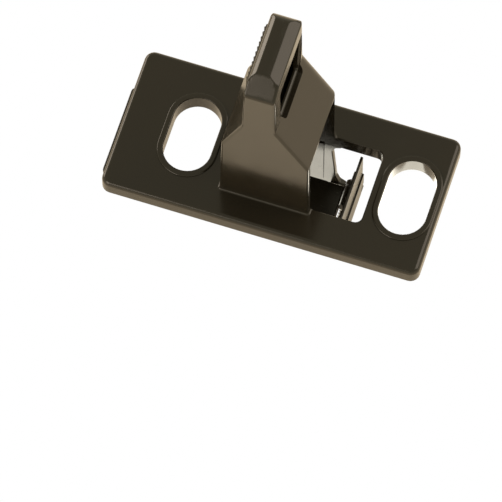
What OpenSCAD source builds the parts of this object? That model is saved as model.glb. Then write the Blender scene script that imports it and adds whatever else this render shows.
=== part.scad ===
// Stair gate latch: a screw-on plate with a hollow post, a squeeze trigger in the post's fin,
// a spring-loaded bolt slide under the plate and a hinged catch arm in the plate's window.
// The origin is the centre of the plate's back face. +X runs along the plate towards the window,
// +Y runs across it and +Z points out of the face. All sizes are in millimetres.

/* [Plate] */
// Length of the plate
plate_l = 100; // [92:1:125]
// Width of the plate
plate_w = 46.6; // [45:0.2:60]
// Height of the plate's edge
plate_h = 6; // [5:0.25:8]
// Radius of the plate's corners, seen from the front
corner_r = 3; // [2.5:0.25:6]
// Round along the plate's top edge
edge_r = 1.6; // [0.8:0.1:2.2]
// Thickness of the plate's skin
skin = 2.2; // [1.6:0.1:3]
// Thickness of the plate's skirt and of the frame round its opening
wall = 1.9; // [1.5:0.1:2.2]

/* [Screw slots] */
// Width of each screw slot
slot_w = 14.7; // [10:0.1:17]
// Length of each screw slot
slot_l = 24.5; // [18:0.5:30]
// Distance from the plate's centre to the left slot
left_slot_x = 28.2; // [27:0.1:32]
// Distance from the plate's centre to the right slot
right_slot_x = 39.6; // [39:0.1:41]
// Width of the ring round each slot
ring_w = 1.9; // [1:0.1:2.4]
// How far each ring stands above the plate
ring_h = 0.5; // [0.2:0.1:1]

/* [Opening] */
// Width of the opening that the post and the window share
opening_w = 24.6; // [20:0.2:26]
// Height of the opening's frame and of the plate's inner ribs above the back face
frame_lift = 0.4; // [0.1:0.1:1]
// Distance from the plate's centre to the window's right edge
window_x = 28.6; // [27:0.1:29]
// Radius of the window's corners
window_r = 2.2; // [1:0.1:4]

/* [Post] */
// Width of the post, front to back
post_w = 28.4; // [28:0.2:30]
// Distance from the plate's centre to the post's left side at the plate
post_left = 15.3; // [15:0.1:16.5]
// Distance from the plate's centre to the post's right side at the plate
post_right = 12.9; // [12:0.1:13.5]
// Height of the left shoulder above the plate's back
shoulder_left_z = 38.6; // [34:0.2:42]
// Height of the right shoulder above the plate's back
shoulder_right_z = 37; // [32:0.2:41]
// Height at which the fin starts
fin_base_z = 55.6; // [53:0.2:62]
// Height of the fin's sides at the top
fin_top_z = 79.6; // [77:0.2:95]
// Height of the ridge above the fin's sides
ridge_rise = 1.6; // [0.5:0.1:3]
// How far the fin's front edge lies below its sides' top
hip_drop = 3.1; // [1:0.1:4]
// Distance from the plate's centre to the fin's left side
fin_left = 7.5; // [6.5:0.1:7.8]
// Thickness of the fin
fin_t = 9.6; // [8.5:0.1:11]

/* [Trigger] */
// Height of the trigger's pivot
pivot_z = 48; // [46:0.2:50]
// Distance from the plate's centre to the pivot, towards the left
pivot_x = 2; // [1.6:0.1:2.4]
// Diameter of the trigger's pin
pivot_d = 3; // [2:0.1:3.6]
// How much narrower the pocket for the trigger's pad is than the opening
pocket_less = 3.6; // [2.6:0.1:8]
// Height of that pocket
pocket_h = 18.6; // [12:0.2:20]
// Thickness of the trigger's pad and leg
trigger_t = 1.8; // [1.4:0.1:2]
// Width of the trigger's leg
leg_w = 10; // [6:0.5:14]
// Distance from the plate's back to the middle of the leg's round foot, downwards
foot_depth = 2.6; // [2.4:0.1:3.2]
// Diameter of the leg's round foot
foot_d = 3.8; // [3:0.1:4.4]

/* [Grip] */
// Length of the ribbed pad
grip_l = 18.6; // [12:0.2:22]
// Height of the ribbed pad
grip_h = 18; // [12:0.5:20]
// Number of ribs
grip_ribs = 11; // [5:1:14]
// How far the pad stands out of the fin, with its ribs
grip_out = 0.8; // [0.6:0.1:1.6]

/* [Bolt slide] */
// Travel of the slide
travel = 4; // [2:0.1:4.4]
// Thickness of the slide's sheet
slide_t = 2; // [1.2:0.1:2.6]
// Depth of the slide's upper face behind the plate
slide_z = 6; // [5.5:0.1:8]
// Length of the bolt's nose, across the plate
nose_w = 29.6; // [20:0.2:32]
// How far the nose stands out past the plate
nose_out = 2.3; // [1:0.1:3]
// Width of the slide's side arms
slide_arm_w = 2.4; // [1.8:0.1:2.6]
// Distance from the middle to the inside of each side arm
slide_arm_y = 15.8; // [15.6:0.1:16.4]
// Diameter of the shoulder screws' shanks
screw_d = 3; // [2.4:0.1:3.4]

/* [Springs] */
// Outer diameter of the return springs
spring_d = 3.5; // [3:0.1:3.7]
// Diameter of the return springs' wire
spring_wire = 0.55; // [0.4:0.05:0.6]
// Number of turns in each return spring
spring_turns = 11; // [8:1:13]
// Diameter of the rods inside the springs
rod_d = 2; // [1.6:0.1:2.1]

/* [Carrier and arm] */
// Depth of the carrier's shelf behind the plate
shelf_depth = 14; // [12:0.5:15]
// Distance from the middle to the shelf's back edge
shelf_edge = 6.6; // [4:0.1:9]
// Depth of the carrier's bridge, which holds the arm's ears
floor_depth = 26; // [24:0.5:32]
// Thickness of the carrier's walls and floor
carrier_wall = 1.9; // [1.5:0.1:2.4]
// Distance from the plate's centre to the carrier's open right end
carrier_right = 12.6; // [11:0.1:13.2]
// Distance from the plate's centre to the arm's pin
arm_x = 20; // [19.6:0.1:20.4]
// Depth of the arm's pin behind the plate
arm_depth = 21; // [20:0.2:22]
// Diameter of the arm's pin
arm_pin_d = 2.4; // [1.6:0.1:2.8]
// Outer radius of the arm's barrel
barrel_r = 2.7; // [2.4:0.1:3]
// Clearance between the arm's blade and each side of the opening
blade_side = 0.8; // [0.6:0.1:3]
// Thickness of the arm below its step
blade_t = 3.1; // [2.4:0.1:3.4]
// Thickness of the arm above its step
tip_t = 0.85; // [0.7:0.05:1.4]
// Depth of the step behind the plate
step_depth = 12; // [8:0.5:13]

/* [Hidden] */
$fn = 64;

plastic = "#4A4238";
dark_plastic = "#37322A";
steel = "#9A9A98";

cut = 1;                    // how far a cut runs past the face it starts from
gap = 0.2;                  // clearance between sliding faces
side_gap = 0.3;             // clearance beside a moving piece
running = 0.05;             // radial clearance of a pin that turns

// Plate and slots
slot_r = slot_w / 2;
slot_half = slot_l / 2 - slot_r;
frame_left = post_left - wall;
slot_places = [-left_slot_x, right_slot_x];

// Post: the outline of its front, from the left foot clockwise
draft = 0.8;
fin_right = fin_t - fin_left;
ridge_left = fin_left - 2;
ridge_right = fin_right - 3.3;
ridge_z = fin_top_z + ridge_rise;
post_points = [
    [-post_left, frame_lift], [-post_left + draft, shoulder_left_z], [-fin_left - 0.6, fin_base_z - 0.6],
    [-fin_left, fin_top_z], [-ridge_left, ridge_z], [ridge_right, ridge_z],
    [fin_right, fin_top_z], [fin_right + 0.3, fin_base_z + 0.6],
    [post_right - 0.2, shoulder_right_z], [post_right, frame_lift]
];
fin_wall = 1.8;
cavity_top = fin_top_z - hip_drop - 0.5;
cavity_points = [
    [-frame_left, -cut], [-frame_left + draft, shoulder_left_z - 0.8],
    [-fin_left + fin_wall - 0.5, fin_base_z - 1.2], [-fin_left + fin_wall, cavity_top],
    [fin_right - fin_wall, cavity_top], [fin_right - fin_wall, fin_base_z],
    [post_right - 2.4, shoulder_right_z - 0.8], [post_right - 2.4, -cut]
];
hip_l = 6.2;

// Trigger
pivot = [-pivot_x, 0, pivot_z];
pocket_z = fin_base_z - 1;
pocket_w = opening_w - pocket_less;
pocket_y = opening_w / 2 + 0.2 - pocket_w / 2;
pad_clear = 0.4;
pad_face = -0.9;
leg_r = foot_d / 2;
pin_end = 1;

// Slide
slide_top = -slide_z;
slide_bottom = -slide_z - slide_t;
slide_left = -plate_l / 2 - nose_out;
arm_outer = slide_arm_y + slide_arm_w;
left_bar_right = -left_slot_x - slot_r - 2.4;
right_bar_left = -left_slot_x + slot_r - 0.5;
boss_r = 2.6;
screw_left_x = -plate_l / 2 + 6.8;
screw_right_x = -post_left - 0.1;
screw_y = 9.4;
screw_places = [
    [screw_left_x, screw_y], [screw_left_x, -screw_y], [screw_right_x, screw_y], [screw_right_x, -screw_y]
];
washer_t = 0.6;
washer_r = screw_d / 2 + 1.7;
head_h = 1.6;
head_r = screw_d / 2 + 1.3;
screw_top = plate_h - skin - 1.2;

// Springs and their rods
spring_y = slide_arm_y + 0.8;
spring_z = -slide_z / 2 - 0.2;
seat_t = 1.9;
seat_x = -left_slot_x + slot_r - 0.6;
tab_t = 1.5;
tab_x = -left_slot_x - slot_r - 5.7;
tab_face = tab_x + tab_t;
rod_left = tab_x - travel - 0.6;

// Carrier
carrier_w = opening_w + 2 * carrier_wall;
carrier_left = -frame_left + 2.4;
carrier_top = -gap;
floor_z = -floor_depth;
shelf_z = -shelf_depth;
bridge_bottom = floor_z - carrier_wall;
rib_t = 2;
rib_h = 7.6;
flange_w = 12;
rivet_r = 1.25;
rivet_x = (right_bar_left + carrier_left) / 2;
rivet_y = 3.4;
rivet_head_r = 2.1;
rivet_head_h = 0.8;

// Arm
arm_z = -arm_depth;
blade_w = opening_w - 2 * blade_side;
ear_t = 2;
barrel_w = blade_w - 2 * ear_t - 2 * side_gap;
spring_gap = 5;
arm_spring_wire = 0.6;
arm_spring_r = 1.65;

// ---- shared shapes ----

// A rectangle with round corners, lying on its centre
module round_rect(l, w, r) {
    square([l - 2 * r, w], center = true);
    square([l, w - 2 * r], center = true);
    for (sx = [-1, 1], sy = [-1, 1])
        translate([sx * (l / 2 - r), sy * (w / 2 - r)]) circle(r);
}

// A slot with round ends that runs along Y
module obround(r, half) {
    square([2 * r, 2 * half], center = true);
    for (s = [-1, 1]) translate([0, s * half]) circle(r);
}

// A solid drawn as an XZ outline, w wide and centred on the middle plane
module across(w) {
    translate([0, w / 2, 0]) rotate([90, 0, 0]) linear_extrude(w) children();
}

// A round bar along Y through the point [x, z]
module y_bar(x, z, r, w) {
    translate([x, w / 2, z]) rotate([90, 0, 0]) cylinder(r = r, h = w);
}

// A box given by its lowest and highest corners
module block(a, b) {
    translate(a) cube(b - a);
}

// A wire swept along the points of a path, with an open ring of sides at each point
function wire_ring(p, t, r, sides) =
    let (n = t / norm(t), side = cross(n, abs(n[0]) < 0.9 ? [1, 0, 0] : [0, 1, 0]),
         u = side / norm(side), v = cross(n, u))
    [for (i = [0:sides - 1]) p + r * (cos(360 * i / sides) * u + sin(360 * i / sides) * v)];

module wire(path, r, sides = 8) {
    last = len(path) - 1;
    rings = [for (i = [0:last])
        wire_ring(path[i], path[min(i + 1, last)] - path[max(i - 1, 0)], r, sides)];
    points = [for (ring = rings) each ring];
    skins = [for (i = [0:last - 1], j = [0:sides - 1])
        let (k = (j + 1) % sides, a = i * sides, b = a + sides)
        each [[a + j, a + k, b + k], [a + j, b + k, b + j]]];
    polyhedron(points, concat(
        [[for (j = [sides - 1:-1:0]) j]],
        [[for (j = [0:sides - 1]) last * sides + j]],
        skins));
}

// ---- housing ----

module plate_solid() {
    inner_l = plate_l - 2 * edge_r;
    inner_w = plate_w - 2 * edge_r;
    bead_z = plate_h - edge_r;
    linear_extrude(bead_z) round_rect(plate_l, plate_w, corner_r);
    linear_extrude(plate_h) round_rect(inner_l, inner_w, corner_r - edge_r);
    for (s = [-1, 1]) {
        translate([-plate_l / 2 + corner_r, s * inner_w / 2, bead_z])
            rotate([0, 90, 0]) cylinder(r = edge_r, h = plate_l - 2 * corner_r);
        translate([s * inner_l / 2, plate_w / 2 - corner_r, bead_z])
            rotate([90, 0, 0]) cylinder(r = edge_r, h = plate_w - 2 * corner_r);
    }
    for (sx = [-1, 1], sy = [-1, 1])
        translate([sx * (plate_l / 2 - corner_r), sy * (plate_w / 2 - corner_r), bead_z])
            rotate_extrude() intersection() {
                translate([corner_r - edge_r, 0]) circle(edge_r);
                square([corner_r, edge_r]);
            }
}

module plate_hollow() {
    difference() {
        translate([0, 0, -cut]) linear_extrude(plate_h - skin + cut)
            round_rect(plate_l - 2 * wall, plate_w - 2 * wall, corner_r - wall + 0.4);
        for (x = slot_places)
            translate([x, 0, -2 * cut]) linear_extrude(plate_h + 2 * cut)
                obround(slot_r + ring_w, slot_half);
        block([-post_left, -opening_w / 2 - wall, -2 * cut],
              [window_x + wall, opening_w / 2 + wall, plate_h]);
        for (x = [-left_slot_x, 0.5 * (window_x - post_left), right_slot_x])
            block([x - wall / 2, -plate_w / 2, frame_lift], [x + wall / 2, plate_w / 2, plate_h]);
    }
}

module post_solid() {
    difference() {
        across(post_w) polygon(post_points);
        // the ridge's front end slopes down to the fin's front edge
        translate([0, -post_w / 2, fin_top_z - hip_drop]) rotate([atan2(ridge_rise + hip_drop, hip_l), 0, 0])
            block([-fin_t, -2 * cut, 0], [fin_t, 2 * hip_l, 4 * (ridge_rise + hip_drop)]);
    }
}

module pocket() {
    // the pocket's lower front corner is cut away at a slope, and its back edge leans
    y0 = pocket_y - pocket_w / 2;
    y1 = pocket_y + pocket_w / 2;
    top = pocket_z + pocket_h;
    translate([fin_right - fin_wall - cut, 0, 0]) rotate([90, 0, 90])
        linear_extrude(fin_wall + 3 * cut)
            polygon([[y0 + 1.6, pocket_z], [y1 - 3.8, pocket_z], [y1, top], [y0, top], [y0, pocket_z + 6]]);
}

module latch_housing() {
    color(plastic) difference() {
        union() {
            difference() {
                plate_solid();
                plate_hollow();
                // the frame ends above the skirt's edge, so that only the skirt rests on the gate post
                block([-post_left, -opening_w / 2 - wall, -2 * cut],
                      [window_x + wall, opening_w / 2 + wall, frame_lift]);
            }
            for (x = slot_places)
                translate([x, 0, 0]) linear_extrude(plate_h + ring_h) obround(slot_r + ring_w, slot_half);
            post_solid();
            for (p = screw_places)
                translate([p[0], p[1], slide_top + gap]) cylinder(r = boss_r, h = slide_z - gap + plate_h - skin / 2);
            for (s = [-1, 1])
                block([seat_x, s * spring_y - 1.8, slide_top + side_gap],
                      [seat_x + seat_t, s * spring_y + 1.8, plate_h - skin / 2]);
        }
        for (x = slot_places)
            translate([x, 0, -cut]) linear_extrude(plate_h + ring_h + 2 * cut) obround(slot_r, slot_half);
        across(opening_w) polygon(cavity_points);
        // the post's open right side
        block([post_right - 3, -opening_w / 2, -cut],
              [post_right + cut, opening_w / 2, shoulder_right_z - 0.8]);
        // the window
        translate([(window_x + frame_left) / 2 - frame_left, 0, -cut]) linear_extrude(plate_h + 2 * cut)
            round_rect(window_x + frame_left, opening_w, window_r);
        block([-frame_left, -opening_w / 2, -gap], [window_x - window_r, opening_w / 2, plate_h + gap]);
        pocket();
        grip_body(running);
        // the pin's bore, blind at the front
        translate([pivot[0], post_w / 2 + cut, pivot[2]]) rotate([90, 0, 0])
            cylinder(d = pivot_d, h = post_w / 2 + opening_w / 2 + pin_end + cut);
        for (p = screw_places)
            translate([p[0], p[1], slide_top - cut]) cylinder(d = screw_d, h = screw_top - slide_top + cut);
        for (s = [-1, 1])
            translate([seat_x - cut, s * spring_y, spring_z]) rotate([0, 90, 0])
                cylinder(d = rod_d, h = seat_t + cut);
    }
}

// The pad's body follows the fin's flank; grow makes the recess that it sits in
module grip_body(grow = 0) {
    lean = 0.6 / (fin_top_z - fin_base_z);
    z1 = fin_top_z - 1.2;
    z0 = z1 - grip_h;
    deep = 0.6;
    x1 = -fin_left - lean * (fin_top_z - z1);
    x0 = -fin_left - lean * (fin_top_z - z0);
    across(grip_l + 2 * grow)
        polygon([
            [x0 + deep, z0 - grow], [x0 - grip_out / 2, z0 - grow],
            [x1 - grip_out / 2, z1 + grow], [x1 + deep, z1 + grow]
        ]);
}

module thumb_grip() {
    lean = atan(0.6 / (fin_top_z - fin_base_z));
    pitch = grip_l / grip_ribs;
    z1 = fin_top_z - 1.2;
    color(dark_plastic) {
        grip_body();
        for (i = [0:grip_ribs - 1])
            translate([-fin_left - grip_out / 2, -grip_l / 2 + (i + 0.5) * pitch, z1 - 0.4])
                rotate([0, lean, 0]) translate([0, 0, -grip_h + 1.2])
                    cylinder(r = grip_out / 2, h = grip_h - 1.6, $fn = 24);
    }
}

// ---- trigger ----

module release_trigger() {
    pad_w = pocket_w - 2 * pad_clear;
    pad_top = pocket_z + pocket_h - pad_clear;
    hub_r = pivot_d / 2 + 1.6;
    color(dark_plastic) difference() {
        union() {
            block([pad_face - trigger_t, pocket_y - pad_w / 2, pocket_z + 2.4],
                  [pad_face, pocket_y + pad_w / 2, pad_top]);
            block([pad_face - trigger_t, -leg_w / 2, pivot_z], [pad_face, leg_w / 2, pad_top]);
            y_bar(pivot[0], pivot[2], hub_r, opening_w - 2 * side_gap);
            block([pivot[0] - trigger_t / 2, -leg_w / 2, -foot_depth],
                  [pivot[0] + trigger_t / 2, leg_w / 2, pivot_z]);
            y_bar(pivot[0], -foot_depth, leg_r, leg_w);
            for (s = [-1, 1])
                block([pivot[0] - leg_r, s * leg_w / 2 - 0.9, 1],
                      [pivot[0] + leg_r, s * leg_w / 2 + 0.9, pivot_z]);
        }
        y_bar(pivot[0], pivot[2], pivot_d / 2 + running, post_w);
    }
}

module trigger_pin() {
    color(steel)
        translate([pivot[0], post_w / 2, pivot[2]]) rotate([90, 0, 0])
            cylinder(d = pivot_d, h = post_w / 2 + opening_w / 2 + pin_end);
}

// ---- bolt slide ----

// The slot that a shoulder screw runs in; past lengthens it into a notch
module run_slot(r, past) {
    circle(r);
    translate([-travel - past, -r]) square([travel + past, 2 * r]);
    translate([-travel - past, 0]) circle(r);
}

module bolt_slide() {
    nose_l = nose_out + 1.2;
    color(steel) difference() {
        union() {
            block([slide_left, -nose_w / 2, slide_bottom], [slide_left + nose_l, nose_w / 2, slide_top]);
            block([slide_left + nose_l, -arm_outer, slide_bottom], [left_bar_right, arm_outer, slide_top]);
            block([right_bar_left, -arm_outer, slide_bottom], [carrier_left - gap, arm_outer, slide_top]);
            for (s = [-1, 1]) {
                y0 = s > 0 ? slide_arm_y : -arm_outer;
                block([left_bar_right, y0, slide_bottom], [right_bar_left, y0 + slide_arm_w, slide_top]);
                block([tab_x, y0 - (s > 0 ? 0.6 : 0), slide_bottom],
                      [tab_face, y0 + slide_arm_w + (s > 0 ? 0 : 0.6), -1]);
            }
        }
        // slots at the left that the shoulder screws run in, and open notches at the right
        for (p = screw_places)
            translate([p[0], p[1], slide_bottom - cut]) linear_extrude(slide_t + 2 * cut)
                run_slot(screw_d / 2 + side_gap, p[0] < -left_slot_x ? 0 : 2 * boss_r);
        for (s = [-1, 1]) {
            translate([tab_x - cut, s * spring_y, spring_z]) rotate([0, 90, 0])
                cylinder(r = rod_d / 2 + gap, h = tab_t + 2 * cut);
            translate([rivet_x, s * rivet_y, slide_bottom - cut]) cylinder(r = rivet_r, h = slide_t + 2 * cut);
        }
    }
}

module slide_screws() {
    color(steel) for (p = screw_places) translate([p[0], p[1], 0]) {
        translate([0, 0, slide_bottom - gap - washer_t])
            cylinder(d = screw_d, h = screw_top - slide_bottom + gap + washer_t);
        difference() {
            translate([0, 0, slide_bottom - gap - washer_t - head_h]) cylinder(r = head_r, h = head_h);
            translate([0, 0, slide_bottom - gap - washer_t - head_h - cut]) {
                block([-head_r, -0.35, 0], [head_r, 0.35, cut + 0.7]);
                block([-0.35, -head_r, 0], [0.35, head_r, cut + 0.7]);
            }
        }
    }
}

module slide_washers() {
    color(steel) for (p = screw_places)
        translate([p[0], p[1], slide_bottom - gap - washer_t]) difference() {
            cylinder(r = washer_r, h = washer_t);
            translate([0, 0, -cut]) cylinder(d = screw_d, h = washer_t + 2 * cut);
        }
}

module spring_rods() {
    color(steel) for (s = [-1, 1])
        translate([rod_left, s * spring_y, spring_z]) rotate([0, 90, 0])
            cylinder(d = rod_d, h = seat_x + seat_t - rod_left);
}

module return_spring(y) {
    r = (spring_d - spring_wire) / 2;
    x0 = tab_face + spring_wire / 2 + 0.05;
    x1 = seat_x - spring_wire / 2 - 0.05;
    steps = 14 * spring_turns;
    color(steel) wire([for (i = [0:steps])
        let (a = 360 * spring_turns * i / steps)
        [x0 + (x1 - x0) * i / steps, y + r * cos(a), spring_z + r * sin(a)]], spring_wire / 2, 6);
}

module front_spring() { return_spring(-spring_y); }
module back_spring() { return_spring(spring_y); }

// ---- carrier and arm ----

module catch_carrier() {
    ear_y = blade_w / 2;
    step_in = 0.35;
    color(plastic) difference() {
        union() {
            // the tray: a shelf with a front and a left wall, open at the back
            difference() {
                block([carrier_left, -carrier_w / 2, shelf_z - carrier_wall],
                      [carrier_right, opening_w / 2 + 0.1, carrier_top]);
                block([carrier_left + carrier_wall, -opening_w / 2, shelf_z],
                      [carrier_right + cut, carrier_w, carrier_top + cut]);
                block([carrier_left + carrier_wall, shelf_edge, shelf_z - 2 * carrier_wall],
                      [carrier_right + cut, carrier_w, shelf_z + cut]);
            }
            block([carrier_right - 0.1, -ear_y, shelf_z - carrier_wall],
                  [arm_x - barrel_r + 0.7, shelf_edge, shelf_z]);
            // the back wall, whose right end is flared at both ends
            translate([0, carrier_w / 2, 0]) rotate([90, 0, 0]) linear_extrude(carrier_wall)
                polygon([
                    [carrier_left, carrier_top], [carrier_right + 3, carrier_top],
                    [carrier_right + 0.6, -1.8], [carrier_right - 0.4, -4.5],
                    [carrier_right + 0.9, floor_z + 3.5], [carrier_right + 2, floor_z],
                    [carrier_right + 4.4, bridge_bottom], [carrier_left, bridge_bottom]
                ]);
            block([carrier_left, shelf_edge, bridge_bottom],
                  [carrier_left + carrier_wall, opening_w / 2 + 0.1, carrier_top]);
            // both walls are a little thicker for most of their length
            for (s = [-1, 1])
                block([carrier_left, s * (opening_w / 2 - step_in / 2) - step_in / 2 - 0.01,
                       s > 0 ? floor_z : shelf_z - 0.1],
                      [carrier_right - 3, s * (opening_w / 2 - step_in / 2) + step_in / 2 + 0.01, carrier_top]);
            // the bridge and the ears that hold the arm's pin
            block([carrier_right - 0.1, -ear_y, bridge_bottom],
                  [arm_x - barrel_r - side_gap, opening_w / 2 + 0.1, floor_z]);
            for (s = [-1, 1]) {
                y0 = s > 0 ? ear_y - ear_t : -ear_y;
                block([carrier_right, y0, bridge_bottom], [arm_x + 1, y0 + ear_t, floor_z]);
                block([arm_x - barrel_r, y0, bridge_bottom], [arm_x + 1, y0 + ear_t, arm_z]);
                translate([arm_x, y0 + ear_t, arm_z]) rotate([90, 0, 0]) cylinder(r = barrel_r, h = ear_t);
            }
            // the two ribs that hold the trigger's foot
            for (x = [pivot[0] - leg_r - running - rib_t, pivot[0] + leg_r + running])
                block([x, -opening_w / 2 - 0.1, -rib_h], [x + rib_t, opening_w / 2 + 0.1, carrier_top - 0.3]);
            // the flange under the slide
            block([right_bar_left + 0.6, -flange_w / 2, slide_bottom - carrier_wall],
                  [carrier_left + 0.1, flange_w / 2, slide_bottom]);
        }
        y_bar(arm_x, arm_z, arm_pin_d / 2, 2 * blade_w);
        for (s = [-1, 1])
            translate([rivet_x, s * rivet_y, slide_bottom - carrier_wall - cut])
                cylinder(r = rivet_r, h = carrier_wall + 2 * cut);
    }
}

module carrier_rivets() {
    color(steel) for (s = [-1, 1]) translate([rivet_x, s * rivet_y, 0]) {
        translate([0, 0, slide_bottom - carrier_wall]) cylinder(r = rivet_r, h = slide_t + carrier_wall);
        translate([0, 0, slide_top]) cylinder(r = rivet_head_r, h = rivet_head_h);
        translate([0, 0, slide_bottom - carrier_wall - rivet_head_h])
            cylinder(r = rivet_head_r, h = rivet_head_h);
    }
}

module catch_arm() {
    right = arm_x + barrel_r;
    blade_foot = arm_z + barrel_r + side_gap;
    tip_right = right - 0.45;
    color(plastic) difference() {
        union() {
            y_bar(arm_x, arm_z, barrel_r, barrel_w);
            block([right - blade_t, -barrel_w / 2, arm_z], [right, barrel_w / 2, -step_depth]);
            block([right - blade_t, -blade_w / 2, blade_foot], [right, blade_w / 2, -step_depth]);
            block([tip_right - tip_t, -blade_w / 2, -step_depth - 0.1], [tip_right, blade_w / 2, 0]);
        }
        y_bar(arm_x, arm_z, arm_pin_d / 2 + running, blade_w);
        // the notch that the torsion spring sits in
        y_bar(arm_x, arm_z, barrel_r + cut, spring_gap);
        block([arm_x - barrel_r, -spring_gap / 2, arm_z], [right - 0.5, spring_gap / 2, arm_z + 9]);
    }
}

module arm_pin() {
    color(steel) y_bar(arm_x, arm_z, arm_pin_d / 2, blade_w);
}

module arm_spring() {
    turns = 4;
    steps = 14 * turns;
    half = spring_gap / 2 - arm_spring_wire;
    leg = 6.6;
    coil = [for (i = [0:steps])
        let (a = 180 - 360 * turns * i / steps)
        [arm_x - arm_spring_r * cos(a), -half + 2 * half * i / steps, arm_z + arm_spring_r * sin(a)]];
    start = coil[0];
    end = coil[steps];
    color(steel) wire(concat([start + [0, 0, leg]], coil, [end + [0, 0, leg]]), arm_spring_wire / 2, 6);
}

latch_housing();
thumb_grip();
release_trigger();
trigger_pin();
bolt_slide();
slide_screws();
slide_washers();
spring_rods();
front_spring();
back_spring();
catch_carrier();
carrier_rivets();
catch_arm();
arm_pin();
arm_spring();
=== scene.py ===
# %% [markdown]
# # A stair gate latch
# This latch is screwed to a wall or a gate post. Its plate and hollow tower are one dark moulding.
# A pad in the tower's fin is squeezed to draw a bolt slide back, and a small arm in the plate's
# window snaps over its striker. The lesson makes each piece in Blender round the fixed CAD frame,
# one finish and one piece at a time.

# %% Load the frame
import math

import bmesh
import bpy
from mathutils import Matrix, Vector


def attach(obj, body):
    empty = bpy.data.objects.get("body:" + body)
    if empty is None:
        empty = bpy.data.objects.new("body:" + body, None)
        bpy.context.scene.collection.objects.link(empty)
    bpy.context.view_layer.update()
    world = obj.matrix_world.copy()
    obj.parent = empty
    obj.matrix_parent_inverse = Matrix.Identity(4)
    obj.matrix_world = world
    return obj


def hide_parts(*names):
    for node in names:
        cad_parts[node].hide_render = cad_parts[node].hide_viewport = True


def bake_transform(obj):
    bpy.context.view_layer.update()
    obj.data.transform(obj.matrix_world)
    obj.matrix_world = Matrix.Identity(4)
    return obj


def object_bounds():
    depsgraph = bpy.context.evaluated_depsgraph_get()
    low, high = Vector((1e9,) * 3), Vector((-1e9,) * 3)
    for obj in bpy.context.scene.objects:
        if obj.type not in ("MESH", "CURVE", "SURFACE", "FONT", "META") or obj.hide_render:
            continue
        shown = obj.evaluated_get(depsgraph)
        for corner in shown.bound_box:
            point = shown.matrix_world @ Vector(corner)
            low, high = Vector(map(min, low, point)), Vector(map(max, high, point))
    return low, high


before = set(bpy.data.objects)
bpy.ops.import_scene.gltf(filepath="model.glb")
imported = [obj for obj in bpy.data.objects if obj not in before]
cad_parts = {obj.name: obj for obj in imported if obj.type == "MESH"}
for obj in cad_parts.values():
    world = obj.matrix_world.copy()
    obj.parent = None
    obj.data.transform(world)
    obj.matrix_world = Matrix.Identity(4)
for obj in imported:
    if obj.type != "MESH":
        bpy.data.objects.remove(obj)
CAD_BOX = [list(corner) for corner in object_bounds()]
MM = 0.001
print("CAD box in mm:", [[round(v / MM, 1) for v in corner] for corner in CAD_BOX])

# %% [markdown]
# ## The camera
# A product picture of a small part is taken from far away with a long lens, so its edges stay
# almost parallel. The camera stands 2 m off, 66.5 degrees above the floor and 18 degrees round to
# the right. Its rotation is built from three directions: right, up and back. The aim is beside the
# part's origin, because the part isn't in the middle.

# %% Camera
AZIMUTH = math.radians(17.92)
ELEVATION = math.radians(66.48)
AWAY = 2.0
LENS = 476.0
back = Vector((math.sin(AZIMUTH) * math.cos(ELEVATION),
               -math.cos(AZIMUTH) * math.cos(ELEVATION),
               math.sin(ELEVATION)))
right = Vector((math.cos(AZIMUTH), math.sin(AZIMUTH), 0))
up = back.cross(right)
aim = right * (-9.207 * MM) + up * (-24.61 * MM)
camera_data = bpy.data.cameras.new("camera")
camera_data.lens = LENS
camera_data.sensor_width = 36.0
camera_data.clip_start = 0.05
camera_data.clip_end = 200.0
camera = bpy.data.objects.new("camera", camera_data)
bpy.context.scene.collection.objects.link(camera)
camera.matrix_world = Matrix.Translation(aim + back * AWAY) @ Matrix((right, up, back)).transposed().to_4x4()
bpy.context.scene.camera = camera
print("camera", round(AWAY, 2), "m away with a lens of", LENS, "mm")

# %% [markdown]
# ## Colours and nodes
# Screen colours are written as hex in sRGB, and shaders work in linear light, so one function turns
# one into the other. A pattern's scale is given as a size in millimetres. One small function adds a
# node with its settings and its links, and it serves materials and Geometry Nodes alike.

# %% Colour, pattern size and one node at a time
def colour(text):
    """A hex colour in sRGB as linear red, green, blue and alpha."""
    parts = [int(text[i:i + 2], 16) / 255 for i in (1, 3, 5)]
    linear = [c / 12.92 if c <= 0.04045 else ((c + 0.055) / 1.055) ** 2.4 for c in parts]
    return (*linear, 1.0)


def every(mm):
    """The texture scale whose features are about that many millimetres apart."""
    return 1.0 / (mm * MM)


def add(tree, kind, inputs=None, **settings):
    """Adds one node; an input is a plain value or another node's output socket."""
    node = tree.nodes.new(kind)
    for key, value in settings.items():
        setattr(node, key, value)
    for key, value in (inputs or {}).items():
        if isinstance(value, bpy.types.NodeSocket):
            tree.links.new(value, node.inputs[key])
        else:
            node.inputs[key].default_value = value
    return node


print("a mid grey is", [round(c, 3) for c in colour("#808080")[:3]], "in linear light")

# %% [markdown]
# ## Moulded plastic
# The housing is ABS, injected into a polished steel mould. What the eye sees is gloss: a dark body
# colour with clear reflections that waver a little, because the skin shrinks as it cools. So the
# material has a slow waviness of about 5 mm, a fine skin texture of 0.3 mm, faint flow clouds in
# its colour, and a few dull scuffs. The same function makes the satin grip and the acetal trigger
# with other values. Roughness is what differs most.

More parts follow.
